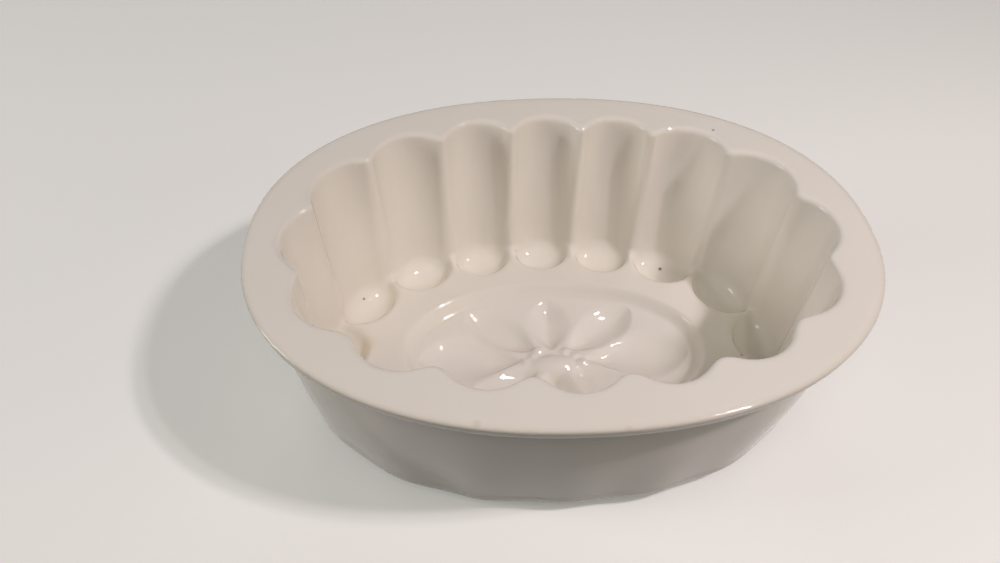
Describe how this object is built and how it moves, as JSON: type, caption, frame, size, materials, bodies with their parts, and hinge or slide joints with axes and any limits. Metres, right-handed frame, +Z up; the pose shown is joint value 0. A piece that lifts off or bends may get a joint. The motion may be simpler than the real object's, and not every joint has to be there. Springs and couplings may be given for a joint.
{
  "type": "jelly mould",
  "caption": "Oval jelly mould of white glazed earthenware: flat rim, fluted wall ending in rounded wells, and a hollow flower in a sunk oval on the floor.",
  "frame": {"origin": "middle of the foot, on the plane that the mould stands on", "axes": "+X along the oval, +Y across it, +Z up through the open side"},
  "size_m": [0.19, 0.1432, 0.0655],
  "materials": {
    "white_glaze": "glossy warm white glaze over earthenware"
  },
  "bodies": {
    "root": {"mould_body": "white_glaze"}
  },
  "joints": []
}
